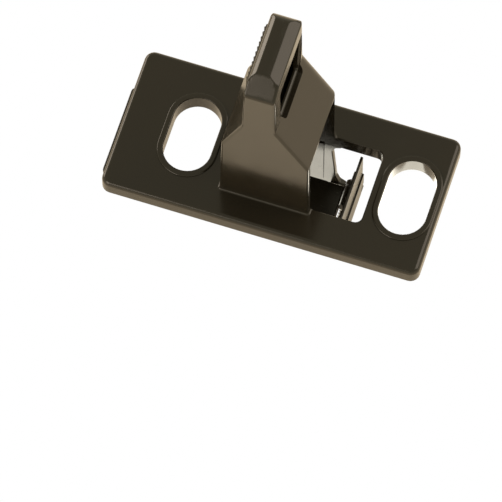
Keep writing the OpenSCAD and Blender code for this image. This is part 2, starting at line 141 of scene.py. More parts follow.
# %% Plastics
def moulded_plastic(name, body, cloud, gloss, grain, skin=0.12, wave=0.3, ior=1.5):
    """Body and cloud are hex colours, gloss is the least and greatest roughness, grain is in mm."""
    material = bpy.data.materials.new(name)
    material.use_nodes = True
    tree = material.node_tree
    tree.nodes.clear()
    place = add(tree, "ShaderNodeTexCoord").outputs["Object"]
    flow = add(tree, "ShaderNodeTexNoise", {"Vector": place, "Scale": every(14), "Detail": 3.0})
    tint = add(tree, "ShaderNodeMix", {"Factor": flow.outputs["Fac"], "A": colour(body), "B": colour(cloud)},
               data_type="RGBA")
    # dull scuffs: long thin noise, of which only the highest part shows
    stretched = add(tree, "ShaderNodeMapping", {"Vector": place, "Scale": (1.0, 9.0, 1.0),
                                                "Rotation": (0.3, 0.2, 0.6)})
    scratch = add(tree, "ShaderNodeTexNoise", {"Vector": stretched.outputs["Vector"], "Scale": every(6),
                                               "Detail": 6.0, "Roughness": 0.7})
    scuff = add(tree, "ShaderNodeMapRange", {"Value": scratch.outputs["Fac"], "From Min": 0.62,
                                             "From Max": 0.74, "To Min": 0.0, "To Max": 1.0})
    blot = add(tree, "ShaderNodeTexNoise", {"Vector": place, "Scale": every(9), "Detail": 4.0})
    dull = add(tree, "ShaderNodeMapRange", {"Value": blot.outputs["Fac"], "From Min": 0.3, "From Max": 0.7,
                                            "To Min": gloss[0], "To Max": gloss[1]})
    rough = add(tree, "ShaderNodeMath", {0: scuff.outputs["Result"], 1: 0.1, 2: dull.outputs["Result"]},
                operation="MULTIPLY_ADD", use_clamp=True)
    ripple = add(tree, "ShaderNodeTexNoise", {"Vector": place, "Scale": every(5), "Detail": 1.0})
    fine = add(tree, "ShaderNodeTexNoise", {"Vector": place, "Scale": every(grain), "Detail": 2.0})
    slow = add(tree, "ShaderNodeBump", {"Height": ripple.outputs["Fac"], "Strength": wave,
                                        "Distance": 0.02 * MM})
    both = add(tree, "ShaderNodeBump", {"Height": fine.outputs["Fac"], "Strength": skin,
                                        "Distance": 0.01 * MM, "Normal": slow.outputs["Normal"]})
    shader = add(tree, "ShaderNodeBsdfPrincipled", {"Base Color": tint.outputs["Result"],
                                                    "Roughness": rough.outputs["Value"], "IOR": ior,
                                                    "Normal": both.outputs["Normal"]})
    add(tree, "ShaderNodeOutputMaterial", {"Surface": shader.outputs["BSDF"]})
    return material


# glossy ABS: a warm near-black that takes its look from what it reflects
housing_plastic = moulded_plastic("gloss_moulded_ABS", "#201C15", "#252119", (0.13, 0.22), 0.3)
# the carrier and the arm are the same resin from a plainer mould, a little duller
carrier_plastic = moulded_plastic("plain_moulded_ABS", "#201C15", "#27231B", (0.18, 0.28), 0.35, skin=0.2)
arm_plastic = moulded_plastic("snap_arm_ABS", "#201C15", "#252119", (0.16, 0.25), 0.3)
# the grip is spark-eroded to a satin grain, so that a thumb doesn't slip
grip_plastic = moulded_plastic("satin_grained_ABS", "#1F1B15", "#242019", (0.36, 0.48), 0.25, skin=0.6)
# the trigger is acetal, which slides well and looks slightly waxy
trigger_plastic = moulded_plastic("waxy_moulded_acetal", "#1C1813", "#211D17", (0.28, 0.36), 0.3, ior=1.48)
print("plastics:", [m.name for m in bpy.data.materials if "moulded" in m.name])

# %% [markdown]
# ## Metals
# The slide is steel sheet with a dark baked coating, the screws and rods are zinc plated, the pins
# are ground bright and the springs are drawn wire. A metal's look is its roughness and how that
# runs: grinding and drawing leave fine lines along one direction, and plating leaves soft clouds.
# Stretched noise gives both.

# %% Metals
def worked_metal(name, light, dark, rough, lines, bump=0.15, metallic=1.0):
    """Lines is the size in mm of the surface marks along X, Y and Z."""
    material = bpy.data.materials.new(name)
    material.use_nodes = True
    tree = material.node_tree
    tree.nodes.clear()
    place = add(tree, "ShaderNodeTexCoord").outputs["Object"]
    along = add(tree, "ShaderNodeMapping", {"Vector": place, "Scale": [every(s) for s in lines]})
    marks = add(tree, "ShaderNodeTexNoise", {"Vector": along.outputs["Vector"], "Scale": 1.0, "Detail": 4.0})
    clouds = add(tree, "ShaderNodeTexNoise", {"Vector": place, "Scale": every(3), "Detail": 3.0})
    tint = add(tree, "ShaderNodeMix",
               {"Factor": clouds.outputs["Fac"], "A": colour(dark), "B": colour(light)},
               data_type="RGBA")
    spread = add(tree, "ShaderNodeMapRange",
                 {"Value": marks.outputs["Fac"], "From Min": 0.25, "From Max": 0.75,
                                              "To Min": rough[0], "To Max": rough[1]})
    relief = add(tree, "ShaderNodeBump", {"Height": marks.outputs["Fac"], "Strength": bump,
                                          "Distance": 0.01 * MM})
    shader = add(tree, "ShaderNodeBsdfPrincipled", {"Base Color": tint.outputs["Result"],
                                                    "Roughness": spread.outputs["Result"],
                                                    "Metallic": metallic, "Normal": relief.outputs["Normal"]})
    add(tree, "ShaderNodeOutputMaterial", {"Surface": shader.outputs["BSDF"]})
    return material


# a baked black coating hides the steel, so it isn't metallic to the eye, and its skin is slightly pebbled
slide_steel = worked_metal("black_coated_sheet_steel", "#2C2A27", "#201E1C", (0.3, 0.42), (0.5, 0.5, 0.5),
                           bump=0.3, metallic=0.0)
# bright zinc plate: pale, slightly blue, cloudy
screw_steel = worked_metal("zinc_plated_steel", "#C9CCCF", "#AEB3B8", (0.24, 0.4), (0.6, 0.6, 0.6))
# centreless ground pins: fine lines run round them, so they are stretched across Y
pin_steel = worked_metal("ground_steel", "#C6C5C2", "#B4B2AE", (0.12, 0.26), (3.0, 0.12, 3.0))
# plated rivets, dulled by the closing tool
rivet_steel = worked_metal("peened_zinc_steel", "#B9BBBD", "#9EA1A4", (0.3, 0.5), (0.4, 0.4, 0.4), bump=0.3)
# drawn spring wire: darker, with lines along the wire that are too fine to show, so it is only streaky
spring_steel = worked_metal("drawn_spring_wire", "#A9A8A5", "#8D8B87", (0.22, 0.36), (0.3, 0.3, 0.3))
print("metals:", [m.name for m in (slide_steel, screw_steel, pin_steel, rivet_steel, spring_steel)])

# %% [markdown]
# ## Shapes from outlines
# Moulded pieces are mostly an outline pushed along one direction, with every edge slightly round. A
# bevel modifier is easy, but it breaks on cut shapes. Here the round edges are part of the solid
# from the start: an outline is moved inwards a little at each level near an end, as a baker's loaf
# is narrower at its crust. A cutter does the opposite and opens like a bell, so the hole that it
# leaves has a round edge too.

# %% Outlines
def offset(points, inward):
    """An anticlockwise outline with every side moved inwards."""
    moved = []
    for i, point in enumerate(points):
        before = (Vector(point) - Vector(points[i - 1])).normalized()
        after = (Vector(points[(i + 1) % len(points)]) - Vector(point)).normalized()
        n0 = Vector((-before.y, before.x))
        n1 = Vector((-after.y, after.x))
        moved.append(Vector(point) + (n0 + n1) * (inward / max(0.25, 1 + n0.dot(n1))))
    return moved


def outline(points, radii, inward=0.0, steps=5):
    """The outline moved inwards and its corners rounded; a corner that turns in grows as it moves."""
    if sum(a[0] * b[1] - b[0] * a[1] for a, b in zip(points, points[1:] + points[:1])) < 0:
        points = points[::-1]
        radii = radii[::-1]
    made = []
    corners = offset(points, inward)
    for i, corner in enumerate(corners):
        into = corner - corners[i - 1]
        out = corners[(i + 1) % len(corners)] - corner
        reach = 0.48 * min(into.length, out.length)
        into.normalize()
        out.normalize()
        turn = math.atan2(into.x * out.y - into.y * out.x, into.dot(out))
        if radii[i] == 0:
            made.append(corner)
            continue
        if abs(turn) < 0.01:
            spread = min(reach, 0.5)
            made.extend(corner + out * spread * (2 * k / steps - 1) for k in range(steps + 1))
            continue
        side = 1 if turn > 0 else -1
        radius = max(radii[i] - side * inward, 0.03)
        radius = min(radius, reach / math.tan(abs(turn) / 2))
        start = corner - into * radius * math.tan(abs(turn) / 2)
        normal = Vector((-into.y, into.x)) * side
        centre = start + normal * radius
        for k in range(steps + 1):
            angle = turn * k / steps
            arm = -normal * radius
            made.append(centre + Vector((arm.x * math.cos(angle) - arm.y * math.sin(angle),
                                         arm.x * math.sin(angle) + arm.y * math.cos(angle))))
    return made


def circle(x, y, r, n=40):
    """A circle as an outline without corners to round."""
    return [(x + r * math.cos(2 * math.pi * i / n), y + r * math.sin(2 * math.pi * i / n)) for i in range(n)]


def obround(x, r, half, n=20):
    """A slot with round ends that runs along Y."""
    top = [(x + r * math.cos(math.pi * i / n), half + r * math.sin(math.pi * i / n)) for i in range(n + 1)]
    return top + [(2 * x - a, -b) for a, b in top]


def box_outline(x0, x1, y0, y1):
    """A rectangle's corners, anticlockwise."""
    return [(x0, y0), (x1, y0), (x1, y1), (x0, y1)]


print("a rounded square has", len(outline(box_outline(0, 9, 0, 9), [1] * 4)), "points")

# %% Solids
def lay(points, axis, level):
    """Puts a flat outline at a level along an axis, in metres."""
    if axis == "Z":
        return [Vector((p[0], p[1], level)) * MM for p in points]
    if axis == "Y":
        return [Vector((p[0], level, p[1])) * MM for p in points]
    return [Vector((level, p[0], p[1])) * MM for p in points]


def loft(name, rings):
    """A closed solid through rings that have as many points each."""
    mesh = bmesh.new()
    rows = [[mesh.verts.new(p) for p in ring] for ring in rings]
    for low, high in zip(rows, rows[1:]):
        for i in range(len(low)):
            j = (i + 1) % len(low)
            mesh.faces.new((low[i], low[j], high[j], high[i]))
    mesh.faces.new(rows[0][::-1])
    mesh.faces.new(rows[-1])
    bmesh.ops.remove_doubles(mesh, verts=mesh.verts, dist=0.002 * MM)
    bmesh.ops.recalc_face_normals(mesh, faces=mesh.faces)
    data = bpy.data.meshes.new(name)
    mesh.to_mesh(data)
    mesh.free()
    piece = bpy.data.objects.new(name, data)
    bpy.context.scene.collection.objects.link(piece)
    return piece


def soft(lo, hi, r_lo, r_hi=None, steps=4):
    """Levels and insets of a solid whose two ends have round edges."""
    r_hi = r_lo if r_hi is None else r_hi
    turns = [math.pi / 2 * k / steps for k in range(steps + 1)]
    low = [(lo + r_lo * (1 - math.cos(a)), r_lo * (1 - math.sin(a))) for a in turns]
    high = [(hi - r_hi * (1 - math.cos(a)), r_hi * (1 - math.sin(a))) for a in reversed(turns)]
    return low + high


def bell(lo, hi, r_lo, r_hi, past=1.0, steps=4):
    """Levels and insets of a cutter that opens at the two faces it goes through."""
    turns = [math.pi / 2 * k / steps for k in range(steps + 1)]
    low = [(lo + r_lo - r_lo * math.sin(a), -r_lo * (1 - math.cos(a))) for a in reversed(turns)]
    high = [(hi - r_hi + r_hi * math.sin(a), -r_hi * (1 - math.cos(a))) for a in turns]
    return [(lo - past, -r_lo)] + low + high + [(hi + past, -r_hi)]


def prism(name, points, radii, axis, levels):
    """A solid of one outline, with its own inset at each level."""
    radii = [radii] * len(points) if isinstance(radii, (int, float)) else radii
    return loft(name, [lay(outline(points, radii, inset), axis, level) for level, inset in levels])


def slab(name, lo, hi, r=0.3):
    """A box with round edges, between two corners."""
    return prism(name, box_outline(lo[0], hi[0], lo[1], hi[1]), max(r, 0.05), "Z", soft(lo[2], hi[2], r))


def turned(name, axis, centre, levels):
    """A turned piece: a circle whose radius is given at each level."""
    return loft(name, [lay(circle(centre[0], centre[1], r), axis, level) for level, r in levels])


print("helpers ready: loft, prism, slab, turned")

# %% [markdown]
# ## Joining and cutting
# Booleans join solids and cut holes. Each result is baked at once, so no modifier stays on a piece.
# The last step sets which edges are crisp by their angle and weights the normals by face size,
# which keeps wide faces optically flat beside their small round edges. Without it a gloss finish
# shows dark smears near every edge.

# %% Joining, cutting and finishing
def bake(piece):
    """Replaces a piece's mesh by what its modifiers make of it."""
    bpy.context.view_layer.update()
    graph = bpy.context.evaluated_depsgraph_get()
    made = bpy.data.meshes.new_from_object(piece.evaluated_get(graph), depsgraph=graph)
    piece.modifiers.clear()
    piece.data = made
    return piece


def gather(parts):
    """Puts solids that don't touch into one object."""
    mesh = bmesh.new()
    for part in parts:
        mesh.from_mesh(part.data)
    mesh.to_mesh(parts[0].data)
    mesh.free()
    for part in parts[1:]:
        bpy.data.objects.remove(part)
    return parts[0]


def work(piece, how, *parts):
    """Adds or cuts parts one after the other."""
    for part in parts:
        step = piece.modifiers.new("work", "BOOLEAN")
        step.operation = "UNION" if how == "add" else "DIFFERENCE"
        step.solver = "EXACT"
        step.object = part
        bake(piece)
        bpy.data.objects.remove(part)
    return piece


def finish(piece, name, material, body, node, crisp=31):
    """Tidies the mesh, sets its shading and finish, and hands it to the frame."""
    mesh = bmesh.new()
    mesh.from_mesh(piece.data)
    bmesh.ops.remove_doubles(mesh, verts=mesh.verts, dist=0.001 * MM)
    bmesh.ops.dissolve_degenerate(mesh, edges=mesh.edges, dist=0.001 * MM)
    mesh.to_mesh(piece.data)
    mesh.free()
    piece.data.shade_smooth()
    piece.data.set_sharp_from_angle(angle=math.radians(crisp))
    even = piece.modifiers.new("even", "WEIGHTED_NORMAL")
    even.keep_sharp = True
    bake(piece)
    piece.data.materials.clear()
    piece.data.materials.append(material)
    piece.name = name
    piece.data.name = name
    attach(piece, body)
    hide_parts(node)
    print(name, "has", len(piece.data.polygons), "faces")
    return piece


# %% [markdown]
# ## The plate
# The plate is a shallow tray, open at the back, with a ring round each screw slot and bosses for
# the slide's screws. It could be one sheet with thickness, but its skirt, ribs and frame are of
# different depth, so it is made as a solid and hollowed from behind, as its mould does.

# %% Plate
SLOTS = (-28.2, 39.6)
SLOT_R, SLOT_HALF, RING_W = 7.35, 4.9, 1.9
PLATE_TOP = 6.0
SCREWS = [(-43.2, 9.4), (-43.2, -9.4), (-15.4, 9.4), (-15.4, -9.4)]
plate = prism("plate", box_outline(-50, 50, -23.3, 23.3), 3.0, "Z", soft(0, PLATE_TOP, 0.25, 1.6, steps=6))
hollow = prism("hollow", box_outline(-48.1, 48.1, -21.4, 21.4), 1.5, "Z", [(-1, 0), (3.4, 0), (3.8, 0.4)])
work(hollow, "cut",
     gather([prism("round", obround(x, SLOT_R + RING_W, SLOT_HALF), 0, "Z", [(-2, 0), (5, 0)])
             for x in SLOTS]),
     slab("frame", (-15.3, -14.2, -2), (30.5, 14.2, 5), 0.1))
ribs = gather([slab("rib", (x - 0.95, -23, -2), (x + 0.95, 23, 5), 0.1) for x in (-28.2, 6.65, 39.6)])
work(hollow, "cut", ribs)
work(plate, "cut", hollow)
print("plate:", len(plate.data.polygons), "faces")

# %% [markdown]
# ## The tower
# The tower is one closed outline, pushed from front to back: two steep sides, two shoulders and a
# thin fin. Its top is a low ridge that slopes down to the front edge, like a hipped roof. The back
# edges are rounder than the front. Pushing an outline that changes from ring to ring gives the hip
# and the round back in one go.

# %% Tower
POST_HALF = 14.2
FIN_LEFT, FIN_RIGHT = -7.5, 2.1
FIN_TOP, RIDGE, CROWN = 79.6, 81.2, 81.5
HIP_Z, HIP_SLOPE = 76.5, 4.7 / 6.2
ROUND_FRONT, ROUND_BACK, ROUND_TOP = 0.9, 3.0, 5.5
TOWER_RADII = [0, 0.9, 1.2, 2.4, 1.2, 8.0, 1.6, 0.8, 0.6, 0.9, 0]


def tower_points(ceiling):
    """The tower's outline, with its roof no higher than the ceiling."""
    rise = min(1.0, max(0.5, (ceiling - FIN_TOP) / (RIDGE - FIN_TOP)))
    roof = [(FIN_LEFT, FIN_TOP), (FIN_LEFT + 2 * rise, RIDGE), (-3.35, CROWN),
            (FIN_RIGHT - 3.3 * rise, RIDGE),
            (FIN_RIGHT, FIN_TOP)]
    return [(-15.3, 0.4), (-14.5, 38.6), (FIN_LEFT - 0.6, 55.0), *[(x, min(z, ceiling)) for x, z in roof],
            (2.4, 56.2), (12.7, 37.0), (12.9, 0.4)]


def tower_ring(y):
    """One ring of the tower."""
    front = max(0.0, ROUND_FRONT - (y + POST_HALF))
    rear = max(0.0, ROUND_BACK - (POST_HALF - y))
    inset = ROUND_FRONT - math.sqrt(ROUND_FRONT ** 2 - front ** 2)
    inset += ROUND_BACK - math.sqrt(ROUND_BACK ** 2 - rear ** 2)
    over = max(0.0, ROUND_TOP - (POST_HALF - y))
    ceiling = CROWN - (ROUND_TOP - math.sqrt(ROUND_TOP ** 2 - over ** 2))
    ceiling = min(ceiling, HIP_Z + HIP_SLOPE * (y + POST_HALF))
    return lay(outline(tower_points(ceiling), TOWER_RADII, inset), "Y", y)


front_levels = [-POST_HALF + ROUND_FRONT * (1 - math.cos(math.pi / 8 * k)) for k in range(5)]
hip_levels = [-12.4, -11.2, -10.5, -10.1, -9.6, -9.1, -8.6, -8.1, -7.8, -7.5, 0.0, 8.5]
rear_levels = [POST_HALF - s for s in (5.2, 4.4, 3.6, 3.0, 2.4, 1.9, 1.4, 1.0, 0.65, 0.35, 0.12, 0.0)]
tower = loft("tower", [tower_ring(y) for y in front_levels + hip_levels + rear_levels])
print("tower:", len(tower.data.polygons), "faces")

# %% Rings, foot fillet, bosses and seats
FOOT_R = 0.7
foot = [(5.0, -FOOT_R)] + [(PLATE_TOP + FOOT_R - FOOT_R * math.cos(a), -FOOT_R * (1 - math.sin(a)))
                           for a in [math.pi / 10 * k for k in range(6)]] + [(7.4, 0.4)]
skirt = prism("skirt", box_outline(-15.18, 12.88, -14.2, 14.2), [0.5, 0.5, 2.2, 2.2], "Z", foot)
ring_levels = [(4.5, 0), (6.1, 0), (6.25, 0.03), (6.37, 0.12), (6.45, 0.26), (6.5, 0.5), (6.56, 1.5),
               (6.56, 2.2)]
rings = [prism("ring", obround(x, SLOT_R + RING_W, SLOT_HALF), 0, "Z", ring_levels) for x in SLOTS]
bosses = [turned("boss", "Z", p, [(-5.8, 2.3), (-5.5, 2.6), (4.2, 2.6)]) for p in SCREWS]
seats = [slab("seat", (-21.45, y - 1.8, -5.7), (-19.55, y + 1.8, 4.5), 0.25) for y in (-16.6, 16.6)]
slots = [prism("slot", obround(x, SLOT_R, SLOT_HALF), 0, "Z", bell(0, 6.56, 0.2, 0.35)) for x in SLOTS]
work(plate, "add", gather(rings))
work(plate, "cut", gather(slots))
work(plate, "add", tower, skirt, gather(bosses), gather(seats))
print("moulding:", len(plate.data.polygons), "faces")

# %% [markdown]
# ## The openings
# The tower is hollow, so its walls set and cool evenly, and its right side is open above the
# window. The window and the pocket have edges that were rounded in the mould, and the bell-shaped
# cutters give them those. The slots are cut with their rings, while the plate is still plain.

# %% Openings
cavity = prism("cavity", [(-13.4, -1), (-12.6, 37.8), (-6.2, 54.4), (-5.7, 76.0), (0.3, 76.0), (0.3, 55.6),
                          (10.5, 36.2), (10.5, -1)], 0.4, "Y", soft(-12.3, 12.3, 0.3))
side = slab("side", (9.6, -12.3, -1), (14.2, 12.3, 36.2), 0.15)
WINDOW_LEFT = -13.3
WINDOW_RIGHT = 28.6
OPENING_HALF = 12.3  # half the width of the window
window = prism("window", box_outline(WINDOW_LEFT, WINDOW_RIGHT, -OPENING_HALF, OPENING_HALF),
               [0.1, 2.2, 2.2, 0.1], "Z", [(-1, 0), (7.3, 0)])
mouth = prism("mouth", box_outline(13.75, 28.6, -12.3, 12.3), [0.1, 2.2, 2.2, 0.1], "Z",
              bell(3.0, PLATE_TOP, 0, 0.35)[5:])
pocket = prism("pocket", [(-6.9, 54.6), (8.7, 54.6), (12.5, 73.2), (-8.5, 73.2), (-8.5, 60.6)],
               [0.6, 0.9, 0.9, 0.9, 1.2], "X", [(-0.6, 0), (1.3, 0), (1.6, -0.06), (1.85, -0.2), (2.02, -0.4),
                                                (2.12, -0.65), (3.6, -0.65)])
bore = turned("bore", "Y", (-2, 48), [(12, 1.55), (13.95, 1.55), (14.2, 1.75), (15, 1.75)])
work(plate, "cut", cavity, side, window, mouth, pocket, bore)
lean = 0.6 / 24.8
GRIP_Z0, GRIP_Z1 = 60.4, 78.4
grip_x0 = FIN_LEFT - lean * (FIN_TOP - GRIP_Z0)
grip_x1 = FIN_LEFT - lean * (FIN_TOP - GRIP_Z1)
recess = [(grip_x0 + 0.6, GRIP_Z0 - 0.05), (grip_x0 - 1, GRIP_Z0 - 0.05), (grip_x1 - 1, GRIP_Z1 + 0.05),
          (grip_x1 + 0.6, GRIP_Z1 + 0.05)]
work(plate, "cut", prism("recess", recess, 0, "Y", [(-9.35, 0), (9.35, 0)]))
finish(plate, "housing_moulding", housing_plastic, "housing", "latch_housing")

# %% [markdown]
# ## The grip's ribs, with Geometry Nodes
# The thumb rests on a pad with eleven upright ribs. One rib is a small round bar with domed ends. A
# node tree sets it out along a line, with the count and the spacing as its inputs, and joins it to
# the pad.

# %% A tree is filled in by the names of its inputs
def new_tree(name, inputs):
    """A node tree with one geometry in, one out, and the named inputs given as (name, socket kind, value)."""
    tree = bpy.data.node_groups.new(name, "GeometryNodeTree")
    tree.interface.new_socket("Geometry", in_out="OUTPUT", socket_type="NodeSocketGeometry")
    tree.interface.new_socket("Geometry", in_out="INPUT", socket_type="NodeSocketGeometry")
    for label, kind, value in inputs:
        socket = tree.interface.new_socket(label, in_out="INPUT", socket_type=kind)
        if value is not None:
            socket.default_value = value
    return tree


def run_tree(piece, tree, **values):
    """Sets a tree's inputs by their identifiers, bakes the result and takes the modifier off."""
    step = piece.modifiers.new(tree.name, "NODES")
    step.node_group = tree
    for item in tree.interface.items_tree:
        if item.in_out == "INPUT" and item.name.lower().replace(" ", "_") in values:
            step[item.identifier] = values[item.name.lower().replace(" ", "_")]
    return bake(piece)


def points_piece(name, places):
    """A piece that has only points, in mm, for a tree to set things out on."""
    data = bpy.data.meshes.new(name)
    data.from_pydata([Vector(p) * MM for p in places], [], [])
    piece = bpy.data.objects.new(name, data)
    bpy.context.scene.collection.objects.link(piece)
    return piece


# %% Grip
row = new_tree("ribs_in_a_row", [("Rib", "NodeSocketObject", None), ("Count", "NodeSocketInt", 11),
                                 ("Spacing", "NodeSocketFloat", 0.0017), ("Start", "NodeSocketVector", None),
                                 ("Finish", "NodeSocketMaterial", None)])
given = add(row, "NodeGroupInput")
step_along = add(row, "ShaderNodeCombineXYZ", {"Y": given.outputs["Spacing"]})
line = add(row, "GeometryNodeMeshLine",
           {"Count": given.outputs["Count"], "Start Location": given.outputs["Start"],
                                         "Offset": step_along.outputs["Vector"]})
rib_shape = add(row, "GeometryNodeObjectInfo", {"Object": given.outputs["Rib"]})
set_out = add(row, "GeometryNodeInstanceOnPoints", {"Points": line.outputs["Mesh"],
                                                    "Instance": rib_shape.outputs["Geometry"]})
whole = add(row, "GeometryNodeJoinGeometry", {"Geometry": given.outputs["Geometry"]})
row.links.new(set_out.outputs["Instances"], whole.inputs["Geometry"])
real = add(row, "GeometryNodeRealizeInstances", {"Geometry": whole.outputs["Geometry"]})
coat = add(row, "GeometryNodeSetMaterial", {"Geometry": real.outputs["Geometry"],
                                            "Material": given.outputs["Finish"]})
add(row, "NodeGroupOutput", {"Geometry": coat.outputs["Geometry"]})

GRIP_OUT, RIBS, GRIP_L = 0.8, 11, 18.6
pad = prism("pad",
            [(grip_x0 + 0.6, GRIP_Z0), (grip_x0 - GRIP_OUT / 2, GRIP_Z0), (grip_x1 - GRIP_OUT / 2, GRIP_Z1),
                    (grip_x1 + 0.6, GRIP_Z1)], 0.25, "Y", soft(-GRIP_L / 2, GRIP_L / 2, 0.25))
rib_r = GRIP_OUT / 2
dome = [(rib_r * math.sin(math.pi / 8 * k), rib_r * (1 - math.cos(math.pi / 8 * k))) for k in range(5)]
rib_levels = [(0.4 + d, r) for r, d in dome] + [(17.4 - d, r) for r, d in reversed(dome)]
rib = loft("rib",
           [lay([(p[0] - lean * (18 - level), p[1]) for p in circle(0, 0, max(r, 0.03), 14)], "Z", level)
                   for level, r in rib_levels])
pitch = GRIP_L / RIBS
run_tree(pad, row, rib=rib, count=RIBS, spacing=pitch * MM, finish=grip_plastic,
         start=Vector((grip_x1 - GRIP_OUT / 2, -GRIP_L / 2 + pitch / 2, GRIP_Z0)) * MM)
bpy.data.objects.remove(rib)
finish(pad, "ribbed_grip", grip_plastic, "housing", "thumb_grip", crisp=40)

# %% [markdown]
# ## The trigger
# The trigger is a lever. Its pad fills the pocket, its hub turns on a steel pin and its long leg
# ends in a round foot between two ribs of the carrier. The pad's face is dished a little, to meet a
# fingertip. It is one moulding, so its parts are joined before they are finished.

# %% Trigger
PIVOT = (-2.0, 48.0)
FACE, THICK = -0.9, 1.8
PAD_FRONT = -8.1
PAD_BACK = 12.1
PAD_LOW = 57.0
PAD_HIGH = 72.8
trigger = prism("trigger", box_outline(PAD_FRONT, PAD_BACK, PAD_LOW, PAD_HIGH), [0.8, 0.8, 0.8, 0.8], "X",
                soft(FACE - THICK, FACE, 0.3, 0.45))
web = slab("web", (FACE - THICK, -5, 48), (FACE - 0.02, 5, 72.4), 0.25)
hub = turned("hub", "Y", PIVOT, [(-12, 2.8), (-11.7, 3.1), (11.7, 3.1), (12, 2.8)])
leg = slab("leg", (PIVOT[0] - 0.9, -5, -2.6), (PIVOT[0] + 0.9, 5, 48), 0.25)
foot_bar = turned("foot_bar", "Y", (PIVOT[0], -2.6), [(-5, 1.6), (-4.7, 1.9), (4.7, 1.9), (5, 1.6)])
cheeks = gather([slab("cheek", (PIVOT[0] - 1.9, y - 0.9, 1.0), (PIVOT[0] + 1.9, y + 0.9, 48), 0.25)
                 for y in (-5, 5)])
work(trigger, "add", web, hub, leg, foot_bar, cheeks)
dish = turned("dish", "X", (2.0, 64.9), [(FACE - 0.35, 4.2), (FACE - 0.12, 6.4), (FACE + 0.2, 8.2)])
eye = turned("eye", "Y", PIVOT, [(-15, 1.55), (15, 1.55)])
work(trigger, "cut", dish, eye)
finish(trigger, "squeeze_trigger", trigger_plastic, "trigger", "release_trigger")

# %% [markdown]
# ## The bolt slide
# The slide is a flat frame of coated steel sheet under the plate. Its nose is the latch bolt, with
# a rounded leading edge. It is blanked in one stroke, so its outline is pressed out and its holes
# are cut with soft edges.

# %% Slide
NOSE_X, SLIDE_LO, SLIDE_HI, ARM_Y = -52.3, -8.0, -6.0, 18.2
slide_outline = [(NOSE_X, -14.8), (NOSE_X + 3.5, -14.8), (NOSE_X + 3.5, -ARM_Y), (-11.2, -ARM_Y),
                 (-11.2, ARM_Y),
                 (NOSE_X + 3.5, ARM_Y), (NOSE_X + 3.5, 14.8), (NOSE_X, 14.8)]
slide = prism("slide", slide_outline, [1.2, 0.4, 0.6, 0.6, 0.6, 0.6, 0.4, 1.2], "Z",
              soft(SLIDE_LO, SLIDE_HI, 0.3))
tabs = gather([slab("tab", (-41.25, min(y, y + 3), -8), (-39.75, max(y, y + 3), -1), 0.25)
               for y in (15.2, -18.2)])
work(slide, "add", tabs)
middle = prism("middle", box_outline(-37.95, -21.35, -15.8, 15.8), 0.8, "Z",
               bell(SLIDE_LO, SLIDE_HI, 0.2, 0.2))
runs = []
for x, y in SCREWS:
    reach = 4.0 if x < -28.2 else 9.2
    run = [(x - reach - 1.8, y - 1.8), (x + 1.8, y - 1.8), (x + 1.8, y + 1.8), (x - reach - 1.8, y + 1.8)]
    runs.append(prism("run", run, 1.75, "Z", bell(SLIDE_LO, SLIDE_HI, 0.15, 0.15)))
holes = [turned("hole", "Z", (-15.85, y), [(-9, 1.25), (-5, 1.25)]) for y in (-3.4, 3.4)]
eyes = [turned("eye", "X", (y, -3.2), [(-42, 1.2), (-39, 1.2)]) for y in (-16.6, 16.6)]
work(slide, "cut", middle, gather(runs), gather(holes), gather(eyes))
finish(slide, "bolt_slide_frame", slide_steel, "slide", "bolt_slide")

# %% [markdown]
# ## The carrier and the arm
# Under the tower hangs a tray, which the slide carries. It has a shelf, a deep back wall that is
# open at the back, and a bridge at its bottom that runs out to two ears. The arm turns on a pin
# between them. The arm's blade stands up to the plate and is stepped half way up to a thin tip, so
# that it snaps over the striker. Both are simple mouldings, and their outlines are drawn from the
# side.

# %% Carrier
def arc(cx, cz, r, start, end, n=14):
    """Points along an arc, with angles in degrees."""
    turns = [math.radians(start + (end - start) * k / n) for k in range(n + 1)]
    return [(cx + r * math.cos(a), cz + r * math.sin(a)) for a in turns]


SHELF, SHELF_EDGE, FLOOR = -14.0, 6.6, -26.0
ARM_X, ARM_Z, BARREL = 20.0, -21.0, 2.7
carrier = slab("tray", (-11.0, -14.2, SHELF - 1.9), (12.6, 12.4, -0.2), 0.45)
work(carrier, "cut", slab("inside", (-9.1, -12.3, SHELF), (14.0, 16.0, 3.0), 0.3),
     slab("open_back", (-9.1, SHELF_EDGE, SHELF - 4), (14.0, 16.0, SHELF + 1), 0.3))
wall_line = [(-11.0, -0.2), (15.6, -0.2), (13.2, -1.8), (12.2, -4.5), (13.5, -22.5), (14.6, -26.0),
             (17.0, -27.9), (-11.0, -27.9)]
back_wall = prism("back_wall", wall_line, [0.4, 0.3, 1.5, 3.0, 4.0, 2.0, 0.3, 0.4], "Y",
                  soft(12.3, 14.2, 0.35))
brace = slab("brace", (-11.0, SHELF_EDGE, -27.8), (-9.1, 12.6, -0.4), 0.2)
shelf_end = slab("shelf_end", (12.0, -11.5, SHELF - 1.9), (18.0, SHELF_EDGE, SHELF), 0.3)
bridge = slab("bridge", (12.0, -11.5, FLOOR - 1.9), (17.0, 12.6, FLOOR), 0.2)
linings = [slab("lining", (-10.5, -12.35, SHELF - 0.5), (9.6, -11.95, -0.25), 0.08),
           slab("lining", (-10.5, 11.95, FLOOR), (9.6, 12.4, -0.25), 0.08)]
ear_line = [(12.0, FLOOR - 1.9), (21, FLOOR - 1.9), *arc(ARM_X, ARM_Z, BARREL, -68, 180), (17.3, FLOOR),
            (12.0, FLOOR)]
ears = [prism("ear", ear_line, 0, "Y", soft(y, y + 2, 0.2)) for y in (-11.5, 9.5)]
fork = [slab("fork", (x, -12.5, -7.6), (x + 2, 12.5, -0.5), 0.25) for x in (-5.95, -0.05)]
flange = slab("flange", (-20.75, -6, -9.9), (-10.5, 6, -8), 0.3)
work(carrier, "add", back_wall, brace, shelf_end, bridge, gather(linings), gather(ears), gather(fork), flange)
